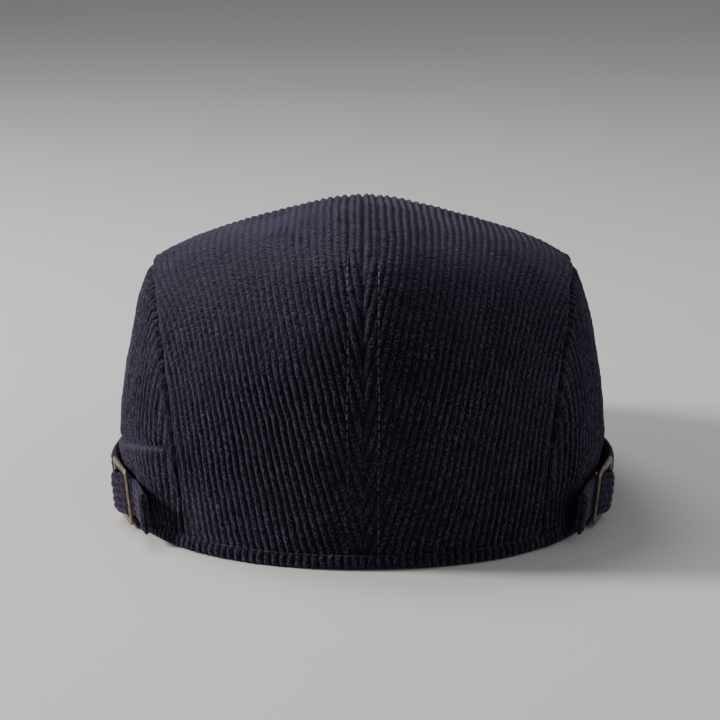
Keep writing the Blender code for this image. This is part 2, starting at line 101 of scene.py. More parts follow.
# Curves in millimetres, from the front edge, over the top, to the nape.
CENTRE_LINE = [
    (0, 113.5, 24), (0, 109, 42), (0, 93, 62), (0, 66, 81), (0, 33, 97), (0, -3, 108),
    (0, -40, 111.7), (0, -76, 110.4), (0, -106, 101.5), (0, -125.5, 81), (0, -131.8, 52),
    (0, -131.2, 24), (0, -130.5, 1.3),
]
SIDE_SEAM = [
    (60.8, 70.6, 14), (65.5, 60, 33), (69.5, 42, 53), (72.5, 19, 69), (74.5, -6, 81),
    (75.5, -29, 86.5), (75.5, -50, 87.5), (73.5, -68, 83.5), (71, -83, 73.5), (67.8, -94, 58),
    (64.5, -101, 36), (62, -104, 16), (60, -105, 1.3),
]
LINING_CENTRE_LINE = [
    (0, 72.9, 25), (0, 72, 43), (0, 66, 61), (0, 50, 77.5), (0, 24, 92), (0, -7, 102),
    (0, -40, 107.5), (0, -74, 106), (0, -102, 96.5), (0, -119.5, 78), (0, -126.3, 52),
    (0, -127, 24), (0, -125.9, 2.8),
]
LINING_SIDE_SEAM = [
    (45, 55, 22), (53, 46, 38), (60, 32, 53), (65.5, 13, 66), (68.8, -9, 75.5),
    (70, -30, 82), (70, -50, 83.5), (68.5, -65.5, 80), (66.3, -78.5, 70.5),
    (63.6, -89, 56), (61, -96.3, 35), (58.8, -100.5, 16), (57.5, -101.7, 2.8),
]

# The cloth.
WALE_PITCH = 2.7 * MM
WALE_HEIGHT = 0.95 * MM
CLOTH_THICK = 1.3 * MM
TOPSTITCH_FROM_SEAM = 5.0 * MM
STITCH_PITCH = 3.1 * MM
STITCH_LENGTH = 2.2 * MM
STITCH_RADIUS = 0.26 * MM
SETTLE = 0.3 * MM  # how far the cloth's ribs sink below its pattern surface
VISOR_TOPSTITCH = 6.0 * MM

# The level tuck in the left side panel, at the height it has where it starts.
TUCK_START_Y = -44 * MM
TUCK_HEIGHT = 24.6 * MM
TUCK_SLOPE = 0.17

NOISE = np.random.default_rng(11).random((32, 32, 32))


# ---------------------------------------------------------------- numbers


def smoothstep(low, high, x):
    t = np.clip((x - low) / (high - low), 0.0, 1.0)
    return t * t * (3 - 2 * t)


def lumps(points, size, seed):
    """Smooth random values from -1 to 1 over space, with lumps of the given size."""
    at = points / size + 7.3 * (seed + 1)
    low = np.floor(at).astype(int)
    f = at - low
    f = f * f * (3 - 2 * f)
    total = 0.0
    for corner in np.ndindex(2, 2, 2):
        weight = np.prod(np.where(corner, f, 1 - f), axis=-1)
        cell = (low + corner) % 32
        total = total + weight * NOISE[cell[..., 0], cell[..., 1], cell[..., 2]]
    return 2 * total - 1


def unit(vectors):
    return vectors / np.maximum(np.linalg.norm(vectors, axis=-1, keepdims=True), 1e-12)


def vector(x, y, z):
    return np.stack(np.broadcast_arrays(x, y, z), axis=-1).astype(float)


def through(points, t):
    """Points on the Catmull-Rom curve through the given ones, for t from 0 to 1."""
    held = np.array(points, float) * MM
    held = np.vstack([2 * held[0] - held[1], held, 2 * held[-1] - held[-2]])
    last = len(points) - 1
    at = np.clip(t, 0, 1) * last
    i = np.minimum(at.astype(int), last - 1)
    f = (at - i)[..., None]
    a, b, c, d = (held[i + k] for k in range(4))
    curve = 2 * b + (c - a) * f + (2 * a - 5 * b + 4 * c - d) * f**2
    return (curve + (3 * b - a - 3 * c + d) * f**3) / 2


def running_length(points, axis=0):
    steps = np.linalg.norm(np.diff(points, axis=axis), axis=-1)
    start = np.zeros_like(np.take(steps, [0], axis=axis))
    return np.concatenate([start, np.cumsum(steps, axis=axis)], axis=axis)


def evenly(curve, spacing):
    """Parameters from 0 to 1 that lie at even distances along a curve."""
    t = np.linspace(0, 1, 500)
    length = running_length(curve(t))
    count = max(int(length[-1] / spacing), 2)
    return np.interp(np.linspace(0, length[-1], count + 1), length, t)


# ---------------------------------------------------------------- curves round the head


def signed_power(value, power):
    return np.copysign(np.abs(value) ** power, value)


def oval(theta, front_reach, inset=0.0, half_width=HALF_WIDTH):
    """Points of the outline at theta, moved in by inset."""
    back = np.cos(theta) > 0
    reach = np.where(back, NAPE_REACH, front_reach)
    power = np.where(back, FULLNESS[NAPE_REACH], FULLNESS[front_reach])
    across = (half_width - inset) * signed_power(np.sin(theta), power)
    along = (reach - inset) * signed_power(np.cos(theta), power)
    return vector(across, WIDEST_Y - along, 0.0)


def oval_normal(theta, front_reach):
    along = oval(theta + 0.01, front_reach) - oval(theta - 0.01, front_reach)
    return unit(vector(along[..., 1], -along[..., 0], 0.0))


def azimuth(point, front_reach):
    """Theta of the outline point that a point of the shell stands over."""
    x, y = point[..., 0], point[..., 1]
    back = y < WIDEST_Y
    reach = np.where(back, NAPE_REACH, front_reach)
    power = 1 / np.where(back, FULLNESS[NAPE_REACH], FULLNESS[front_reach])
    along = signed_power((WIDEST_Y - y) / reach, power)
    return np.arctan2(signed_power(x / HALF_WIDTH, power), along)


def visor_z(x, y):
    """Height of the visor board's middle."""
    return VISOR_CREST - VISOR_FALL * (y - VISOR_ROOT_Y) - x * x / (2 * VISOR_ARCH_RADIUS)


def shell_edge(theta):
    """The shell's lower edge: above the hem at the back, on the visor at the front."""
    point = oval(theta, SHELL_FRONT_REACH)
    inside = point - 2 * MM * oval_normal(theta, SHELL_FRONT_REACH)
    on_visor = visor_z(inside[..., 0], inside[..., 1]) + VISOR_STACK + 0.1 * MM
    climb = smoothstep(radians(92), radians(101), np.abs(theta))
    point[..., 2] = EDGE_LIFT + (on_visor - EDGE_LIFT) * climb
    return point


def head_edge(theta, inset, lift=0.0):
    """The head opening's lower edge, which climbs over the forehead with the visor."""
    point = oval(theta, FOREHEAD_REACH, inset)
    climb = smoothstep(radians(95), radians(112), np.abs(theta))
    at_visor = visor_z(point[..., 0], point[..., 1]) - VISOR_STACK
    point[..., 2] = EDGE_LIFT + (at_visor - EDGE_LIFT) * climb + lift
    return point


class Dome:
    """Two crown halves and two side panels that meet along a side seam."""

    def __init__(self, centre_line, side_seam, edge, front_reach, flare, puff):
        self.centre_line = centre_line
        self.side_seam = side_seam
        self.edge = edge
        self.front_reach = front_reach
        self.flare = flare
        self.puff = puff
        ends = through(side_seam, np.array([0.0, 1.0]))
        self.front_theta, self.nape_theta = azimuth(ends, front_reach)

    def outward(self, point):
        """Unit vectors out of the dome, level at the lower edge."""
        x, y, z = (point[..., i] for i in range(3))
        reach = np.where(y < WIDEST_Y, NAPE_REACH, self.front_reach)
        height = np.maximum(z - self.edge(azimuth(point, self.front_reach))[..., 2], 0)
        away = vector(x / HALF_WIDTH**2, (y - WIDEST_Y) / reach**2, height / CROWN_HEIGHT**2)
        return unit(away)

    def seam(self, v):
        """The side seam's points and the direction that crosses it towards the side."""
        point = through(self.side_seam, v)
        front, nape = self.edge(self.front_theta), self.edge(self.nape_theta)
        ends = through(self.side_seam, np.array([0.0, 1.0]))
        point = point + (front - ends[0]) * ((1 - v) ** 6)[..., None]
        point = point + (nape - ends[1]) * (v**10)[..., None]
        step = 0.01
        along = through(self.side_seam, v + step) - through(self.side_seam, v - step)
        across = unit(np.cross(self.outward(point), along))
        to_side = np.array([HALF_WIDTH, WIDEST_Y, 0]) - point
        sign = np.where((across * to_side).sum(-1) > 0, 1.0, -1.0)
        return point, across * sign[..., None]

    def cross_curve(self, u, v):
        start = through(self.centre_line, v)
        end, across = self.seam(v)
        reach = np.linalg.norm(end - start, axis=-1)[..., None]
        ridge = CROWN_RIDGE * smoothstep(0.02, 0.42, v) * smoothstep(0.95, 0.6, v)
        leave = vector(1.0, 0.0, -ridge)
        pull_a = start + leave * reach * 0.36
        pull_b = end - across * reach * 0.13
        u, w = u[..., None], 1 - u[..., None]
        return start * w**3 + pull_a * 3 * u * w**2 + pull_b * 3 * u**2 * w + end * u**3

    def crown(self, u, v):
        """A crown half: u from the centre seam to the side seam, v from front to nape."""
        point = self.cross_curve(u, v)
        front = self.edge(pi + (self.front_theta - pi) * u)
        nape = self.edge(self.nape_theta * u)
        zero, one = np.zeros_like(v), np.ones_like(v)
        point = point + (front - self.cross_curve(u, zero)) * ((1 - v) ** 6)[..., None]
        return point + (nape - self.cross_curve(u, one)) * (v**10)[..., None]

    def side(self, v, t):
        """A side panel: v along the seam from front to nape, t from the edge to the seam."""
        top, across = self.seam(v)
        foot = self.edge(azimuth(top, self.front_reach))
        rise = np.linalg.norm(top - foot, axis=-1)[..., None]
        full = smoothstep(0, 40 * MM, rise)
        out = self.outward(foot)
        up = np.array([0.0, 0.0, 1.0]) + out * self.flare * full
        pull_a = foot + up * rise * 0.36
        pull_b = top + (across * full + unit(foot - top) * (1 - full)) * rise * 0.15
        t, w = t[..., None], 1 - t[..., None]
        curve = foot * w**3 + pull_a * 3 * t * w**2 + pull_b * 3 * t**2 * w + top * t**3
        puff = self.puff * smoothstep(*PUFF_HEIGHTS, curve[..., 2:] - foot[..., 2:])
        return curve + out * puff * smoothstep(1, 0.15, t) * smoothstep(30 * MM, 75 * MM, rise)


SHELL = Dome(CENTRE_LINE, SIDE_SEAM, shell_edge, SHELL_FRONT_REACH, SIDE_FLARE, SIDE_PUFF)
LINING = Dome(
    LINING_CENTRE_LINE,
    LINING_SIDE_SEAM,
    lambda theta: head_edge(theta, LINING_SETBACK, 1.5 * MM),
    FOREHEAD_REACH,
    LINING_FLARE,
    0.0,
)


# ---------------------------------------------------------------- shader expressions


class Value:
    """A node's output. Arithmetic on it adds the Math nodes that work it out."""

    def __init__(self, finish, socket):
        self.finish = finish
        self.socket = socket

    def maths(self, operation, first, second):
        return self.finish.node("ShaderNodeMath", {"operation": operation}, [first, second])

    def __add__(self, other):
        return self.maths("ADD", self, other)

    def __rsub__(self, other):
        return self.maths("SUBTRACT", other, self)

    def __mul__(self, other):
        return self.maths("MULTIPLY", self, other)

    __radd__ = __add__
    __rmul__ = __mul__


class Finish:
    """A material with a Principled BSDF, whose fixed values are set straight on it."""

    def __init__(self, name, **fixed):
        self.material = bpy.data.materials.new(name)
        self.material.use_nodes = True
        self.tree = self.material.node_tree
        self.shader = self.tree.nodes["Principled BSDF"]
        for key, value in fixed.items():
            self.feed(self.shader.inputs[key.replace("_", " ")], value)

    def feed(self, socket, value):
        if isinstance(value, Value):
            self.tree.links.new(value.socket, socket)
        elif isinstance(value, tuple) and len(socket.default_value) == 4:
            socket.default_value = (*value, 1)
        else:
            socket.default_value = value

    def node(self, kind, settings, inputs, output=0):
        """Any other node: its settings first, then its sockets, by name or by number."""
        made = self.tree.nodes.new(kind)
        for key, value in settings.items():
            if key == "stops":
                for element, (place, colour) in zip(made.color_ramp.elements, value):
                    element.position = place
                    element.color = (*colour, 1)
            else:
                setattr(made, key, value)
        pairs = inputs.items() if isinstance(inputs, dict) else enumerate(inputs)
        for key, value in pairs:
            self.feed(made.inputs[key], value)
        return Value(self, made.outputs[output])

    def place(self):
        return self.node("ShaderNodeTexCoord", {}, {}, "Object")

    def stretched(self, scales):
        inputs = {"Vector": self.place(), "Scale": scales}
        return self.node("ShaderNodeMapping", {}, inputs)

    def noise(self, size, detail=3, where=None):
        inputs = {"Vector": where or self.place(), "Scale": 1 / size, "Detail": detail}
        return self.node("ShaderNodeTexNoise", {}, inputs)

    def attribute(self, name):
        return self.node("ShaderNodeAttribute", {"attribute_name": name}, {}, "Fac")

    def contrast(self, value, low, high):
        inputs = {"Value": value, "From Min": low, "From Max": high}
        return self.node("ShaderNodeMapRange", {}, inputs)

    def mix(self, factor, first, second):
        settings = {"data_type": "RGBA"}
        return self.node("ShaderNodeMix", settings, {0: factor, 6: first, 7: second}, 2)

    def bump(self, height, distance, strength=1.0):
        inputs = {"Height": height, "Distance": distance, "Strength": strength}
        self.feed(self.shader.inputs["Normal"], self.node("ShaderNodeBump", {}, inputs))

    def colour(self, value):
        self.feed(self.shader.inputs["Base Color"], value)

    def roughness(self, value):
        self.feed(self.shader.inputs["Roughness"], value)


# ---------------------------------------------------------------- finishes


def corduroy_finish():
    made = Finish(
        "corduroy",
        Sheen_Weight=0.22,
        Sheen_Roughness=0.5,
        Sheen_Tint=(0.68, 0.56, 0.86),
        Specular_IOR_Level=0.06,
    )
    wale = made.attribute("wale")
    worn = made.attribute("worn")
    fibre = made.noise(0.7 * MM, 3)
    tuft = made.noise(1.7 * MM, 3)
    patch = made.noise(13 * MM, 4)
    lit = made.contrast(patch, 0.36, 0.68)
    crest = made.contrast(wale, 0.3, 0.95)
    tufted = made.contrast(tuft, 0.38, 0.62)
    pile = made.mix(tufted, (0.003, 0.0023, 0.0052), (0.0105, 0.008, 0.0165))
    flecks = made.contrast(fibre, 0.5, 0.66) * crest
    pile = made.mix(flecks * (0.3 + 0.65 * lit), pile, (0.085, 0.07, 0.112))
    # Lightened by a mask that holds both real wear and painted light: painted top light and
    # highlights on the crown, a painted grazing sheen on the side panels and a painted highlight on
    # the tuck's lip.
    pile = made.mix(worn * 0.5, pile, (0.05, 0.042, 0.068))
    # The grooves between the ribs are painted nearly black as painted shade.
    made.colour(made.mix(made.contrast(wale, 0.1, 0.7), (0.0012, 0.001, 0.002), pile))
    made.roughness(0.98 - 0.16 * made.contrast(fibre, 0.4, 0.7))
    made.bump(fibre * 0.9 + tuft * 1.3, 0.9 * MM, 1.0)
    return made.material


def thread_finish():
    made = Finish("topstitch_thread", Sheen_Weight=0.3, Specular_IOR_Level=0.35)
    twist = made.node(
        "ShaderNodeTexWave",
        {"bands_direction": "DIAGONAL"},
        {"Vector": made.place(), "Scale": 1 / (0.9 * MM), "Distortion": 1.5},
    )
    made.colour(made.mix(twist, (0.022, 0.021, 0.036), (0.085, 0.082, 0.12)))
    made.roughness(0.5 + 0.2 * twist)
    made.bump(twist, 0.08 * MM)
    return made.material


def slider_finish():
    made = Finish("antique_nickel", Metallic=1.0)
    brushed = made.noise(0.25 * MM, 3, made.stretched((0.12, 1, 1)))
    tarnish = made.noise(2.6 * MM, 4)
    plate = made.mix(made.contrast(tarnish, 0.35, 0.7), (0.27, 0.21, 0.16), (0.12, 0.088, 0.062))
    made.colour(made.mix(made.contrast(brushed, 0.55, 0.8) * 0.4, plate, (0.52, 0.44, 0.35)))
    made.roughness(0.26 + 0.2 * made.contrast(tarnish, 0.3, 0.7) + 0.08 * brushed)
    made.bump(brushed + tarnish * 0.6, 0.03 * MM, 0.6)
    return made.material


def woven_finish(name, dark, light, size, roughness, **fixed):
    """Plain woven cloth: two crossing sets of fine threads."""
    made = Finish(name, **fixed)
    settings = {"wave_profile": "SIN"}
    waves = [
        made.node(
            "ShaderNodeTexWave",
            {**settings, "bands_direction": way},
            {"Vector": made.place(), "Scale": 0.31 / size, "Distortion": 0.6, "Detail": 2.0},
        )
        for way in ("DIAGONAL", "Z")
    ]
    weave = waves[0] * waves[1]
    slub = made.noise(7 * MM, 4)
    tone = made.contrast(weave * 0.6 + slub * 0.6, 0.25, 0.75)
    made.colour(made.mix(tone, dark, light))
    made.roughness(roughness + 0.12 * slub)
    made.bump(weave + slub * 0.4, 0.12 * MM, 0.6)
    return made.material


def board_finish():
    made = Finish("visor_board", Roughness=0.55)
    speckle = made.noise(0.8 * MM, 4)
    scuff = made.noise(12 * MM, 3)
    made.colour(made.mix(speckle, (0.62, 0.61, 0.57), (0.78, 0.77, 0.73)))
    made.roughness(0.45 + 0.2 * scuff)
    made.bump(speckle, 0.06 * MM, 0.5)
    return made.material


def floor_finish():
    made = Finish("pale_floor")
    cloud = made.noise(0.35, 3)
    made.colour(made.mix(cloud, (0.6, 0.59, 0.57), (0.66, 0.65, 0.63)))
    made.roughness(0.75 + 0.1 * cloud)
    return made.material


FINISHES = {
    "corduroy": corduroy_finish(),
    "thread": thread_finish(),
    "slider_metal": slider_finish(),
    "lining": woven_finish(
        "lining_satin", (0.022, 0.024, 0.036), (0.07, 0.075, 0.1), 0.35 * MM, 0.3,
        Sheen_Weight=0.15, Anisotropic=0.4,
    ),
    "sweatband": woven_finish(
        "sweatband_twill", (0.012, 0.013, 0.02), (0.045, 0.047, 0.065), 0.6 * MM, 0.75,
        Sheen_Weight=0.3,
    ),
    "keeper_tape": woven_finish(
        "keeper_tape", (0.012, 0.013, 0.022), (0.045, 0.047, 0.07), 0.5 * MM, 0.7,
        Sheen_Weight=0.2,
    ),
    "label": woven_finish(
        "label_cloth", (0.4, 0.4, 0.41), (0.62, 0.62, 0.63), 0.3 * MM, 0.6,
        Sheen_Weight=0.2,
    ),
    "interlining": woven_finish(
        "interlining_foam", (0.11, 0.11, 0.12), (0.2, 0.2, 0.21), 0.9 * MM, 0.85,
        Sheen_Weight=0.1,
    ),
    "board": board_finish(),
}


# ---------------------------------------------------------------- meshes


class Build:
    """Collects grids of points into one mesh, each with its own finish and point values."""

    def __init__(self):
        self.points = []
        self.faces = []
        self.slots = []
        self.values = {"wale": [], "worn": []}
        self.count = 0

    def add(self, points, faces, slot=0, **values):
        points = points.reshape(-1, 3)
        self.points.append(points)
        self.faces.append(faces + self.count)
        self.slots.append(np.full(len(faces), slot))
        for name, held in self.values.items():
            value = np.ravel(values.get(name, 0.0))
            held.append(np.broadcast_to(value, len(points)) if value.size == 1 else value)
        self.count += len(points)

    def grid(self, points, slot=0, loop_rows=False, loop_columns=False, **values):
        rows, columns = points.shape[:2]
        index = np.arange(rows * columns).reshape(rows, columns)
        if loop_rows:
            index = np.vstack([index, index[:1]])
        if loop_columns:
            index = np.hstack([index, index[:, :1]])
        corners = (index[:-1, :-1], index[:-1, 1:], index[1:, 1:], index[1:, :-1])
        faces = np.stack([c.ravel() for c in corners], axis=1)
        self.add(points, faces, slot, **values)

    def sheet(self, outer, inner, slot=0, loop_columns=False, **values):
        """A closed sheet of cloth between two grids of the same size."""
        rows, columns = outer.shape[:2]
        top = np.arange(rows * columns).reshape(rows, columns)
        if loop_columns:
            top = np.hstack([top, top[:, :1]])
        below = top + rows * columns
        quads = []

        def strip(a, b):
            quads.append(np.stack([a[:-1], a[1:], b[1:], b[:-1]], axis=1))

        for face, turned in ((top, False), (below, True)):
            corners = [face[:-1, :-1], face[:-1, 1:], face[1:, 1:], face[1:, :-1]]
            if turned:
                corners.reverse()
            quads.append(np.stack([c.ravel() for c in corners], axis=1))
        strip(below[0], top[0])
        strip(top[-1], below[-1])
        if not loop_columns:
            strip(top[:, 0], below[:, 0])
            strip(below[:, -1], top[:, -1])
        doubled = {key: np.tile(np.ravel(value), 2) for key, value in values.items()}
        self.add(np.stack([outer, inner]), np.concatenate(quads), slot, **doubled)

    def finish(self, name, slots, body, replaced=(), mirror=False, place=None):
        """Makes the piece, gives it its finishes and hangs it on its body."""
        points = np.concatenate(self.points)
        faces = np.concatenate(self.faces)
        if place is not None:
            points = points @ np.array(place.to_3x3()).T + np.array(place.translation)
        if mirror:
            points = points * (-1, 1, 1)
            faces = faces[:, ::-1]
        mesh = bpy.data.meshes.new(name)
        mesh.vertices.add(len(points))
        mesh.vertices.foreach_set("co", points.astype(np.float32).ravel())
        mesh.loops.add(faces.size)
        mesh.loops.foreach_set("vertex_index", faces.astype(np.int32).ravel())
        mesh.polygons.add(len(faces))
        mesh.polygons.foreach_set("loop_start", np.arange(0, faces.size, 4, dtype=np.int32))
        mesh.polygons.foreach_set("material_index", np.concatenate(self.slots).astype(np.int32))
        mesh.update(calc_edges=True)
        for key, held in self.values.items():
            layer = mesh.attributes.new(key, "FLOAT", "POINT")
            layer.data.foreach_set("value", np.concatenate(held).astype(np.float32))
        for slot in slots:
            mesh.materials.append(FINISHES[slot])
        mesh.shade_smooth()
        piece = bpy.data.objects.new(name, mesh)
        bpy.context.scene.collection.objects.link(piece)
        if body:
            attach(piece, body)
        if replaced:
            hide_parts(*replaced)
        slots[0] != "thread"
        return piece


def normals_of(points):
    """Unit normals of a grid of points, by the order of its rows and columns."""
    down, across = np.gradient(points, axis=0), np.gradient(points, axis=1)
    return unit(np.cross(down, across))


def wales(distance):
    """Height of the ribs from 0 in a groove to 1 on a wale's crest."""
    place = np.mod(distance / WALE_PITCH, 1.0)
    return 1 - np.abs(2 * place - 1) ** 2.1


def pile_height(points, distance):
    """Ribs whose crests wander and vary a little, as brushed pile does."""
    wander = lumps(points, 19 * MM, 1) * 0.45 * MM + lumps(points, 5 * MM, 2) * 0.2 * MM
    wander = wander + lumps(points, 1.9 * MM, 6) * 0.12 * MM
    rib = wales(distance + wander)
    height = WALE_HEIGHT * (1 + 0.25 * lumps(points, 6 * MM, 3))
    fuzz = lumps(points, 1.2 * MM, 4) * 0.16 * MM + lumps(points, 2.5 * MM, 5) * 0.14 * MM
    return rib, rib * height + fuzz * (0.3 + 0.7 * rib)


def seam_dip(distance, depth, width):
    """The hollow along a seam or a row of stitches."""
    return -depth * np.exp(-((distance / width) ** 2))


def capsules(build, starts, ends, ups, radius, slot):
    """Stitches as short rounded rods."""
    sides, rings = 8, 7
    turn = np.linspace(0, 2 * pi, sides, endpoint=False)
    lean = np.linspace(-pi / 2, pi / 2, rings)
    for start, end, up in zip(starts, ends, ups):
        way = unit(end - start)
        side = unit(np.cross(way, up))
        top = np.cross(side, way)
        ring = np.cos(turn)[:, None] * side + np.sin(turn)[:, None] * top * 0.8
        middle = (start + end) / 2
        half = np.linalg.norm(end - start) / 2 - radius
        along = half * np.sign(lean) + radius * np.sin(lean)
        wide = radius * np.maximum(np.cos(lean), 0.05)
        grid = middle + way * along[:, None, None] + ring[None] * wide[:, None, None]
        build.grid(grid, slot, loop_columns=True)


def stitch_run(build, path, normals, slot=0, sink=0.1 * MM):
    """A row of stitches along a path on the cloth, pulled into it by sink."""
    length = running_length(path)
    count = int(length[-1] / STITCH_PITCH)
    at = (np.arange(count) + 0.5) * length[-1] / count

    def follow(values, where):
        return np.stack([np.interp(where, length, values[:, i]) for i in range(3)], axis=1)

    raised = path + normals * np.reshape(STITCH_RADIUS - sink, (-1, 1))
    starts = follow(raised, at - STITCH_LENGTH / 2)
    ends = follow(raised, at + STITCH_LENGTH / 2)
    capsules(build, starts, ends, follow(normals, at), STITCH_RADIUS, slot)


# ---------------------------------------------------------------- crown and side panels


def body_of(node):
    bodies = frame["record"]["behaviour"]["bodies"]
    return next(name for name, nodes in bodies.items() if node in nodes)


def crown_grid(dome, column_spacing, row_spacing):
    v = evenly(lambda t: dome.crown(np.full_like(t, 0.5), t), row_spacing)
    u = evenly(lambda t: dome.crown(t, np.full_like(t, 0.55)), column_spacing)
    across, down = np.meshgrid(u, v)
    return dome.crown(across, down), down


def outward_normals(points):
    """A shell grid's normals, all turned out of the cap."""
    normals = normals_of(points)
    return normals * np.sign((normals * SHELL.outward(points)).sum(-1))[..., None]


def handed(side):
    """Mirrors where the random lumps are read, so that the two sides differ."""
    return np.array([-1.0 if side == "left" else 1.0, 1.0, 1.0])


def crown_half(side, seed):
    """The cloth's two faces, its normals, its ribs, where it is worn and where light is painted on
    it, and the way across.
    """
    points, v = crown_grid(SHELL, 0.48 * MM, 1.5 * MM)
    normals = outward_normals(points)
    across = running_length(points, axis=1)
    z = points[..., 2]
    wall = np.clip(1 - z / (104 * MM), 0, 1)
    fall = 27 * MM * wall**1.1 * smoothstep(0.5, 0.68, v)
    fall = fall + 10 * MM * wall * smoothstep(0.35, 0.1, v)
    placed = points * handed(side)
    rib, height = pile_height(placed, across + fall)

    to_centre = across
    to_side = across[:, -1:] - across
    worn = 0.5 + 0.5 * lumps(placed, 22 * MM, seed)
    flat = smoothstep(0.25, 0.75, worn)
    height = height * (1 - 0.3 * flat)
    height += seam_dip(to_centre, 1.3 * MM, 1.0 * MM)
    height += seam_dip(to_centre - TOPSTITCH_FROM_SEAM, 0.42 * MM, 0.7 * MM)
    height -= 0.5 * MM * smoothstep(14 * MM, 1 * MM, to_centre)
    height += seam_dip(to_side, 1.0 * MM, 1.3 * MM)
    knots = 0.5 + 0.5 * lumps(placed, 4 * MM, seed + 3)
    height += 0.7 * MM * knots * np.exp(-(((to_side - 2.6 * MM) / (1.7 * MM)) ** 2))
    puckers = lumps(placed * (0.3, 1, 1), 3.6 * MM, seed + 4)
    near = np.exp(-to_centre / (13 * MM)) * smoothstep(72 * MM, 98 * MM, z)
    height += 0.55 * MM * puckers * near
    height += 0.45 * MM * lumps(placed, 38 * MM, seed + 1)
    height += 0.22 * MM * lumps(placed, 13 * MM, seed + 2)
    height -= SETTLE
    outer = points + normals * height[..., None]
    outer[:, 0, 0] = 0.02 * MM
    inner = points - normals * CLOTH_THICK
    inner[:, 0, 0] = 0.02 * MM
    # The pile's flat worn patches are lightened only on the crown's top as painted top light, and
    # the raised puckers by the centre seam get a painted highlight.
    worn = 0.6 * flat * smoothstep(70 * MM, 105 * MM, z)
    worn = worn + 0.45 * near * np.clip(puckers * 1.6, 0, 1)
    return outer, inner, normals, rib, worn, across


def finish_crown(side, seed):
    outer, inner, normals, rib, worn, across = crown_half(side, seed)
    build = Build()
    build.sheet(outer, inner, 0, wale=rib, worn=worn)
    rows = np.arange(len(outer))
    column = (across < TOPSTITCH_FROM_SEAM).sum(axis=1).clip(1, outer.shape[1] - 1)
    line = outer[rows, column][2:-2]
    z = line[:, 2]
    shown = smoothstep(34 * MM, 48 * MM, z) * smoothstep(106 * MM, 98 * MM, z)
    patchy = 0.12 * MM * lumps(line, 9 * MM, seed)
    sink = 0.42 * MM - 0.26 * MM * shown + patchy
    stitch_run(build, line, normals[rows, column][2:-2], 1, sink)
    node = "crown_" + side
    build.finish(node + "_cloth", ["corduroy", "thread"], body_of(node), [node], side == "left")


def side_panel(side, seed):
    v = evenly(lambda t: SHELL.side(t, np.zeros_like(t)), 0.5 * MM)
    t = evenly(lambda q: SHELL.side(np.full_like(q, 0.5), q), 0.95 * MM)
    v = np.clip(v, 0.001, 0.999)
    along, up = np.meshgrid(v, t)
    points = SHELL.side(along, up)
    normals = outward_normals(points)
    placed = points * handed(side)
    foot = running_length(points[:1], axis=1)
    rib, height = pile_height(placed, np.broadcast_to(foot, up.shape))
    top = points[-1:]
    to_seam = np.linalg.norm(points - top, axis=-1)
    height += seam_dip(to_seam, 1.2 * MM, 1.1 * MM)
    height += 0.45 * MM * lumps(placed, 30 * MM, seed)
    height += 0.25 * MM * lumps(placed, 11 * MM, seed + 1)
    height -= SETTLE
    y, z = points[..., 1], points[..., 2]
    worn = 0.25 * smoothstep(0.0, 0.8, lumps(placed, 18 * MM, seed + 2))
    # The side panel's front low part: its ribs are pressed flat, and its colour is lightened in
    # small patches as a painted grazing sheen.
    crushed_and_painted_sheen = smoothstep(-66 * MM, -54 * MM, y) * smoothstep(78 * MM, 60 * MM, z)
    brushed = smoothstep(-0.35, 0.55, lumps(placed, 3.4 * MM, seed + 3))
    worn = worn + 0.85 * crushed_and_painted_sheen * brushed
    height -= 0.45 * crushed_and_painted_sheen * WALE_HEIGHT * (rib - 0.5)
    if side == "left":
        crease = TUCK_HEIGHT + (TUCK_START_Y - y) * TUCK_SLOPE
        back = smoothstep(-30 * MM, -50 * MM, y) * smoothstep(-101 * MM, -96 * MM, y)
        below = smoothstep(0.1 * MM, -0.5 * MM, z - crease)
        fold = 1.3 * MM * below * smoothstep(2 * MM, 18 * MM, z)
        notch = 0.7 * MM * np.exp(-(((z - crease - 0.7 * MM) / (0.7 * MM)) ** 2))
        height += back * (fold - notch)
        lip = back * np.exp(-(((z - crease + 0.7 * MM) / (0.9 * MM)) ** 2))
        # The fold's lip gets a painted highlight with its ribs evened out, and the cloth below the
        # crease is made a little lighter.
        worn = worn + 0.9 * lip + 0.15 * back * below
        height -= lip * WALE_HEIGHT * 0.8 * (rib - 0.5)
        rib = rib + (0.75 - rib) * 0.7 * lip
    outer = points + normals * height[..., None]
    inner = points - normals * CLOTH_THICK
    facing = np.cross(outer[1, 2] - outer[1, 1], outer[2, 1] - outer[1, 1])
    if facing @ normals[1, 1] < 0:
        outer, inner, rib, worn = (g[:, ::-1] for g in (outer, inner, rib, worn))
    build = Build()
    build.sheet(outer, inner, 0, wale=rib, worn=worn)
    node = "side_panel_" + side
    build.finish(node + "_cloth", ["corduroy"], body_of(node), [node], side == "left")


def lining(side):
    depth = 0.5 * MM
    points, _ = crown_grid(LINING, 2.0 * MM, 2.2 * MM)
    out = LINING.outward(points)
    crease = 0.2 * MM * lumps(points, 9 * MM, 3) + 0.2 * MM * lumps(points, 21 * MM, 6)
    across = running_length(points, axis=1)
    crease = crease * smoothstep(0, 6 * MM, across) * smoothstep(0, 6 * MM, across[:, -1:] - across)
    points = points - out * crease[..., None]
    build = Build()
    build.sheet(points - out * depth, points)
    node = "crown_lining_" + side
    build.finish(node + "_cloth", ["lining"], body_of(node), [node], side == "left")

    v = np.clip(evenly(lambda t: LINING.side(t, np.zeros_like(t)), 2.2 * MM), 0.002, 0.998)
    t = np.linspace(0, 1, 40)
    along, up = np.meshgrid(v, t)
    points = LINING.side(along, up)
    out = LINING.outward(points)
    build = Build()
    build.sheet(points, points - out * depth)
    node = "side_lining_" + side
    build.finish(node + "_cloth", ["lining"], body_of(node), [node], side == "left")


# ---------------------------------------------------------------- hem, visor and band


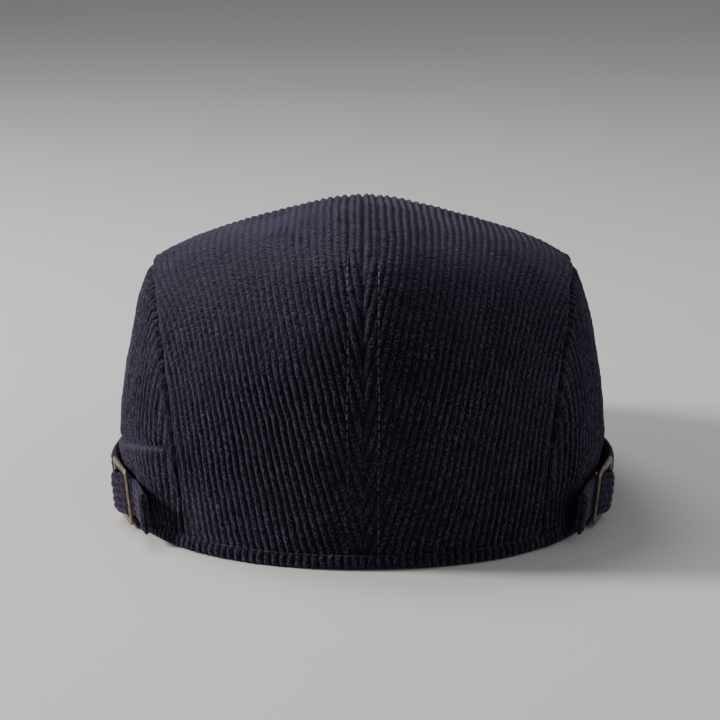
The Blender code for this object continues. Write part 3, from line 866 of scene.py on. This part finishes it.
def hem():
    """The rolled edge: the cloth's own wales carried round a folded channel."""
    theta = np.linspace(-HEM_END, HEM_END, 2000)
    length = running_length(oval(theta, SHELL_FRONT_REACH))
    count = int(length[-1] / (0.48 * MM))
    theta = np.interp(np.linspace(0, length[-1], count), length, theta)
    section = np.array([
        (-6.3, 1.0), (-6.3, 3.0), (-6.3, 4.7), (-6.6, 5.0), (-7.0, 4.7), (-7.2, 3.0),
        (-7.1, 1.2), (-6.6, 0.25), (-5.6, 0.0), (-3.0, 0.0), (-1.0, 0.0), (0.5, 0.12),
        (1.15, 0.75), (1.4, 1.7), (1.45, 2.6), (1.3, 3.5), (1.0, 4.3), (0.75, 4.8),
        (0.5, 4.95), (0.4, 4.6), (0.4, 3.0), (0.4, 1.4), (0.2, 1.0), (-3.0, 1.0),
    ]) * MM
    way_out = oval_normal(theta, SHELL_FRONT_REACH)
    outer_line = oval(theta, SHELL_FRONT_REACH)
    inner_line = oval(theta, FOREHEAD_REACH)
    inner_out = oval_normal(theta, FOREHEAD_REACH)
    length = running_length(outer_line)
    rings = []
    ribs = []
    for out, up in section:
        beaded = smoothstep(0.5 * MM, 1.2 * MM, out)
        line = np.where(out > -1.5 * MM, outer_line, inner_line)
        away = np.where(out > -1.5 * MM, way_out, inner_out)
        rib, height = pile_height(line + (0, 0, up), length)
        swell = (height - SETTLE) * beaded
        rings.append(line + away * (out + swell)[:, None] + (0, 0, up))
        ribs.append(rib * beaded + 0.3 * (1 - beaded))
    points = np.stack(rings, axis=1)
    build = Build()
    build.grid(points, loop_columns=True, wale=np.stack(ribs, axis=1))
    for end, flip in ((0, False), (-1, True)):
        ring = points[end]
        pair = np.stack([ring, np.broadcast_to(ring.mean(0), ring.shape)])
        build.grid(pair[::-1] if flip else pair, loop_columns=True)
    build.finish("hem_binding_cloth", ["corduroy"], body_of("hem_binding"), ["hem_binding"])


def visor_cover(name, facing):
    """One cover of the visor; facing is 1 on top and -1 beneath. Their rims meet."""
    half_board, gap, cloth = 1.0 * MM, 0.3 * MM, 1.2 * MM

    def at(u, theta):
        inner = oval(theta, FOREHEAD_REACH, VISOR_SETBACK + 0.9 * MM)
        outer = oval(theta, VISOR_REACH, 0.0, VISOR_HALF_WIDTH)
        point = inner + (outer - inner) * u[..., None]
        point[..., 2] = visor_z(point[..., 0], point[..., 1])
        return point

    corner = VISOR_CORNER - radians(2.2)
    span = 2 * pi - 2 * corner
    v = evenly(lambda t: at(np.ones_like(t), corner + span * t), 0.5 * MM)
    root = np.array([0.0, 0.15, 0.4, 0.8]) * MM / (VISOR_REACH - FOREHEAD_REACH)
    u = np.append(root, 1 - (1 - np.linspace(0.025, 1, 45)) ** 1.25)
    inward, around = np.meshgrid(u, corner + span * v)
    middle = at(inward, around)
    slope = unit(vector(middle[..., 0] / VISOR_ARCH_RADIUS, VISOR_FALL, 1.0))
    rim = np.linalg.norm(middle - middle[:, -1:], axis=-1)
    to_root = np.linalg.norm(middle - middle[:, :1], axis=-1)
    end = unit(middle[0, -1] - middle[0, 0])
    from_end = middle * np.where(middle[..., :1] * middle[0, 0, 0] < 0, (-1, 1, 1), 1)
    from_end = from_end - middle[0, 0]
    to_end = np.linalg.norm(np.cross(from_end, end), axis=-1)
    closed = np.minimum(np.minimum(rim, to_end) / (2.2 * MM), to_root / (0.9 * MM))
    roll = 1 - np.sqrt(1 - (1 - np.clip(closed, 0, 1)) ** 2)
    rib, height = pile_height(middle * facing, middle[..., 0] + 0.5 * WALE_PITCH)
    height = (height - SETTLE) * smoothstep(0, 1.2 * MM, np.minimum(rim, to_end))
    height += seam_dip(rim - VISOR_TOPSTITCH, 0.45 * MM, 0.8 * MM)
    height += 0.2 * MM * lumps(middle, 20 * MM, 5)
    full = (half_board + gap + cloth) * (1 - 0.96 * roll)
    thin = (half_board + gap) * (1 - 0.96 * roll)
    outer = middle + slope * facing * (full + height)[..., None]
    inner = middle + slope * facing * np.minimum(thin, full)[..., None]
    worn = 0.55 * np.exp(-((rim / (2.0 * MM)) ** 2))
    if facing > 0:
        outer, inner, rib, worn, rim = (g[::-1] for g in (outer, inner, rib, worn, rim))
        slope = slope[::-1]
    build = Build()
    build.sheet(outer, inner, 0, wale=rib, worn=worn)
    rows = np.arange(len(outer))
    column = (rim > VISOR_TOPSTITCH).sum(axis=1).clip(1, outer.shape[1] - 1)
    wide = np.flatnonzero(rim[:, 0] > 1.5 * VISOR_TOPSTITCH)
    line = outer[rows, column][wide]
    stitch_run(build, line, slope[rows, column][wide] * facing, 1)
    build.finish(name + "_cloth", ["corduroy", "thread"], body_of(name), [name])


def sweatband():
    theta = np.linspace(-pi, pi, 420, endpoint=False)
    rows = 20
    turn, rise = np.meshgrid(theta, np.linspace(0, 1, rows))

    def face(depth):
        inset = SWEATBAND_SETBACK + depth + SWEATBAND_LEAN * rise**2
        return head_edge(turn, inset, SWEATBAND_HEIGHT * rise)

    wave = 0.25 * MM * lumps(face(0), 14 * MM, 2) * smoothstep(0.3, 1.0, rise)
    fold = 0.3 * MM * np.exp(-(((rise - 0.93) / 0.05) ** 2))
    build = Build()
    inside, outside = face(SWEATBAND_THICK + fold + wave * 0.5), face(wave * 0.5)
    build.sheet(inside, outside, 0, loop_columns=True)
    for level in (0.82, 0.1):
        row = int(level * (rows - 1))
        path = np.vstack([inside[row], inside[row][:1]])
        towards = -oval_normal(np.append(theta, theta[0]), FOREHEAD_REACH)
        stitch_run(build, path, towards, 1)
    build.finish("sweatband_cloth", ["sweatband", "thread"], body_of("sweatband"), ["sweatband"])


def size_label():
    half_angle = radians(9)
    bottom, top = 6 * MM, 22 * MM
    turn, up = np.meshgrid(np.linspace(-half_angle, half_angle, 60), np.linspace(bottom, top, 30))

    def face(depth):
        lean = SWEATBAND_LEAN * (up / SWEATBAND_HEIGHT) ** 2
        return head_edge(turn, SWEATBAND_SETBACK + SWEATBAND_THICK + depth + lean, up)

    edge = np.minimum(up - bottom, top - up)
    fold = 0.25 * MM * smoothstep(2.2 * MM, 1.2 * MM, edge)
    front, back = face(0.75 * MM + fold), face(0.35 * MM)
    build = Build()
    build.sheet(front, back)
    for column in (4, -5):
        path = front[2:-2, column]
        towards = -oval_normal(turn[2:-2, column], FOREHEAD_REACH)
        stitch_run(build, path, towards, 1)
    build.finish("size_label_cloth", ["label", "thread"], body_of("size_label"), ["size_label"])


# ---------------------------------------------------------------- adjusters


def slider_matrix():
    """The slider's own axes: X rearwards along the strap, Y out, Z up the middle bar."""
    theta = np.array(SLIDER_THETA)
    out = Vector(oval_normal(theta, SHELL_FRONT_REACH))
    rear = Vector((out.y, -out.x, 0))
    lean = Matrix.Rotation(-SLIDER_LEAN, 3, rear)
    up = lean @ Vector((0, 0, 1))
    centre = Vector(oval(theta, SHELL_FRONT_REACH)) + out * ADJUSTER_SEAT
    axes = Matrix((rear, lean @ out, up)).transposed()
    return Matrix.LocRotScale(centre + up * SLIDER_CENTRE_UP, axes, None)


SLIDER = slider_matrix()
TAIL_WAY = unit(np.array([1.0, -0.085]))
UNDER_BAR = np.array([9.4 * MM, 0.66 * MM])


def placed_in(side, x, y=0.0):
    """Where a point of the slider's own X and Y lies on that side of the cap."""
    point = SLIDER @ Vector((x, y, 0))
    return Vector((-point.x, point.y, point.z)) if side == "left" else point


def in_slider(theta, out):
    """The slider's own X and Y, in millimetres, of a point out from the hem at theta."""
    theta = np.array(theta)
    way = oval_normal(theta, SHELL_FRONT_REACH)
    point = Vector(oval(theta, SHELL_FRONT_REACH) + way * (ADJUSTER_SEAT + out))
    point += SLIDER.to_3x3() @ Vector((0, 0, SLIDER_CENTRE_UP))
    local = SLIDER.inverted() @ point
    return (local.x / MM, local.y / MM, 0)


def strap_route():
    """From the stitched front end, under the front bar, over the middle bar, to the rear."""
    stands_off = [(STRAP_FRONT_THETA, 0.8), (radians(95), 2.6), (radians(89.5), 3.6)]
    route = [in_slider(turn, out * MM) for turn, out in stands_off]
    route += [(-14.5, 1.1, 0), (-10.8, 0.45, 0), (-5, 3.0, 0), (0, 4.85, 0), (5, 2.95, 0)]
    for distance in (0.0, 1.0):
        point = UNDER_BAR / MM + TAIL_WAY * distance
        route.append((point[0], point[1], 0))
    return route


def webbing(route, spacing, thick, seed):
    """A doubled strip of corduroy along a route, with its wales running lengthwise."""
    t = evenly(lambda q: through(route, q), spacing)
    middle = through(route, t)
    way = unit(np.gradient(middle, axis=0))
    side = np.stack([-way[:, 1], way[:, 0], np.zeros(len(way))], axis=1)
    length = running_length(middle)
    half = STRAP_HALF_WIDTH
    z = half * np.sin(np.linspace(-pi / 2, pi / 2, 46))
    edge = np.sqrt(np.clip(1 - np.abs(z / half) ** 5, 0, 1))
    faces = []
    for facing, heights in ((1, z), (-1, z[::-1][1:-1])):
        shape = edge if facing > 0 else edge[::-1][1:-1]
        grid_z = np.broadcast_to(heights, (len(middle), len(heights)))
        place = vector(length[:, None] * facing, grid_z, seed * 10 * MM)
        rib, height = pile_height(place, grid_z + 50 * MM)
        relief = 0.6 * np.clip(thick[:, None] / MM - 0.8, 0.15, 1)
        offset = (thick[:, None] * 0.5 + (height - 0.35 * MM) * relief) * shape
        point = middle[:, None] + side[:, None] * facing * offset[..., None]
        point[..., 2] = grid_z + 0.15 * MM * lumps(place, 6 * MM, seed)
        faces.append((point, rib))
    return [np.concatenate(both, axis=1) for both in zip(*faces)]


def close_ends(build, points):
    for end, flip in ((0, False), (-1, True)):
        ring = points[end]
        centre = np.broadcast_to(ring.mean(0), ring.shape)
        pair = np.stack([ring, centre])
        build.grid(pair[::-1] if flip else pair, loop_columns=True, wale=0.6)


def strap(side, seed):
    route = strap_route()
    probe = through(route, evenly(lambda q: through(route, q), 0.6 * MM))
    x = probe[:, 0]
    pressed = np.exp(-(((x + 11 * MM) / (2.6 * MM)) ** 2)) + smoothstep(6 * MM, 9 * MM, x)
    front = smoothstep(x[0], x[0] + 6 * MM, x)
    thick = (0.95 + 1.45 * (1 - np.clip(pressed, 0, 1)) * front) * MM
    points, rib = webbing(route, 0.6 * MM, thick, seed)
    build = Build()
    build.grid(points, loop_columns=True, wale=rib, worn=0.25)
    close_ends(build, points)
    node = "strap_" + side
    name = node + "_webbing"
    piece = build.finish(name, ["corduroy"], None, [node], side == "left", SLIDER)
    ends = [placed_in(side, x) for x in (8.6 * MM, 9.4 * MM)]
    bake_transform(piece)


def tail(side, seed):
    """The strap's free end with its folded tip, and the stretch drawn through the slider."""
    start, hinge, tip = 1.2 * MM, HINGE_ALONG, HINGE_ALONG + TAIL_LENGTH
    stops = np.linspace(start, tip, 9)
    bow = 2.6 * np.clip((stops - hinge) / TAIL_LENGTH, 0, 1) ** 1.6
    normal = np.array([-TAIL_WAY[1], TAIL_WAY[0]])
    route = []
    for stop, lift in zip(stops, bow):
        point = (UNDER_BAR + TAIL_WAY * stop) / MM + normal * lift
        route.append((point[0], point[1], 0))
    probe = evenly(lambda q: through(route, q), 0.5 * MM)
    far = np.linspace(start, tip, len(probe))
    thick = (0.95 + 1.25 * smoothstep(start + 1 * MM, hinge + 3 * MM, far)) * MM
    thick = thick + 0.7 * MM * smoothstep(tip - 5.5 * MM, tip - 4.5 * MM, far)
    thick = thick * np.sqrt(np.clip(1 - smoothstep(tip - 1.2 * MM, tip, far) ** 2, 0.05, 1))
    points, rib = webbing(route, 0.5 * MM, thick, seed)
    build = Build()
    build.grid(points, loop_columns=True, wale=rib, worn=0.3)
    close_ends(build, points)
    nodes = ["strap_drawn_part_" + side, "strap_tail_" + side]
    name = "strap_tail_" + side + "_webbing"
    piece = build.finish(name, ["corduroy"], None, nodes, side == "left", SLIDER)
    bends = (hinge - 1.4 * MM, hinge + 1.4 * MM)
    ends = [placed_in(side, *(UNDER_BAR + TAIL_WAY * distance)) for distance in bends]
    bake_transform(piece)


def slider(side):
    """The metal frame with soft edges, and its middle bar riveted between the rails."""
    half_x, half_z, corner = 11.0 * MM, 9.0 * MM, 1.6 * MM
    path = []
    for quarter in range(4):
        x = (half_x - corner) * (1 if quarter in (0, 3) else -1)
        z = (half_z - corner) * (1 if quarter < 2 else -1)
        for i in range(9):
            turn = pi / 2 * (quarter + i / 8)
            path.append((x + corner * np.cos(turn), SLIDER_OUT, z + corner * np.sin(turn)))
    path = np.array(path)
    way = unit(np.roll(path, -1, axis=0) - np.roll(path, 1, axis=0))
    flat_side = np.cross(way, (0.0, 1.0, 0.0))
    turn = np.linspace(0, 2 * pi, 24, endpoint=False)
    broad = 0.9 * MM + 0.45 * MM * smoothstep(6.6 * MM, 8.4 * MM, np.abs(path[:, 2]))
    wide = broad[:, None] * signed_power(np.cos(turn), 0.55)
    thick = 0.62 * MM * signed_power(np.sin(turn), 0.55)
    ring = path[:, None] + flat_side[:, None] * wide[..., None]
    ring[..., 1] += thick
    build = Build()
    build.grid(ring[:, ::-1], loop_rows=True, loop_columns=True)
    node = "slider_frame_" + side
    build.finish(node + "_metal", ["slider_metal"], body_of(node), [node], side == "left", SLIDER)
    build = Build()
    z = np.array([-8.4, -8.3, -7.7, -7.5, 7.5, 7.7, 8.3, 8.4]) * MM
    radius = np.array([0.1, 0.72, 0.72, 0.5, 0.5, 0.72, 0.72, 0.1]) * MM
    grid = vector(
        radius[:, None] * np.cos(turn), SLIDER_OUT + radius[:, None] * np.sin(turn), z[:, None]
    )
    build.grid(grid, loop_columns=True)
    node = "slider_middle_bar_" + side
    build.finish(node + "_metal", ["slider_metal"], body_of(node), [node], side == "left", SLIDER)


# ---------------------------------------------------------------- carried-over pieces


def carried_over():
    """Finishes for the frame's own pieces that stay as they are."""
    slots = {part["node"]: part["material_slot"] for part in frame["record"]["subparts"]}
    for node, slot in slots.items():
        piece = bpy.data.objects.get(node)
        if piece is None or piece.hide_render:
            continue
        for material_slot in piece.material_slots:
            material_slot.material = FINISHES[slot]


# ---------------------------------------------------------------- studio


def aim(piece, target):
    away = Vector(piece.location) - Vector(target)
    piece.rotation_euler = away.to_track_quat("Z", "Y").to_euler()


def lamp(name, place, size, power, colour=(1, 1, 1)):
    light = bpy.data.lights.new(name, "AREA")
    light.shape = "DISK"
    light.size = size
    light.energy = power
    light.color = colour
    piece = bpy.data.objects.new(name, light)
    bpy.context.scene.collection.objects.link(piece)
    piece.location = place
    aim(piece, (0, -0.03, 0.05))


def camera():
    distance, elevation = 0.9, radians(12)
    target = Vector((-1.0 * MM, WIDEST_Y, 52 * MM))
    view = bpy.data.cameras.new("camera")
    view.lens = 123.3
    view.sensor_width = 36
    piece = bpy.data.objects.new("camera", view)
    bpy.context.scene.collection.objects.link(piece)
    back = Vector((0, -np.cos(elevation), np.sin(elevation)))
    piece.location = target + back * distance
    aim(piece, target)
    bpy.context.scene.camera = piece


def studio():
    bpy.ops.mesh.primitive_plane_add(size=6)
    floor = bpy.context.object
    floor.name = "floor"
    floor.data.materials.append(floor_finish())
    lamp("key", (-1.42, 0.02, 0.74), 0.4, 34, (1.0, 0.97, 0.95))
    lamp("top", (-0.45, 0.45, 1.2), 0.6, 7)
    lamp("fill", (0.75, -1.2, 0.9), 0.9, 2.6, (0.95, 0.95, 1.0))
    lamp("rim", (1.3, 0.25, 0.5), 0.6, 1.8)
    world = bpy.data.worlds.new("studio")
    world.use_nodes = True
    background = world.node_tree.nodes["Background"]
    background.inputs["Color"].default_value = (0.8, 0.82, 0.86, 1)
    background.inputs["Strength"].default_value = 0.3
    bpy.context.scene.world = world


# ---------------------------------------------------------------- the cap


def main():
    camera()
    studio()
    for side, seed in (("right", 1), ("left", 14)):
        finish_crown(side, seed)
        side_panel(side, seed + 5)
        lining(side)
        strap(side, seed)
        tail(side, seed + 1)
        slider(side)
    hem()
    visor_cover("visor_top_cover", 1)
    visor_cover("visor_under_cover", -1)
    sweatband()
    size_label()
    carried_over()


main()
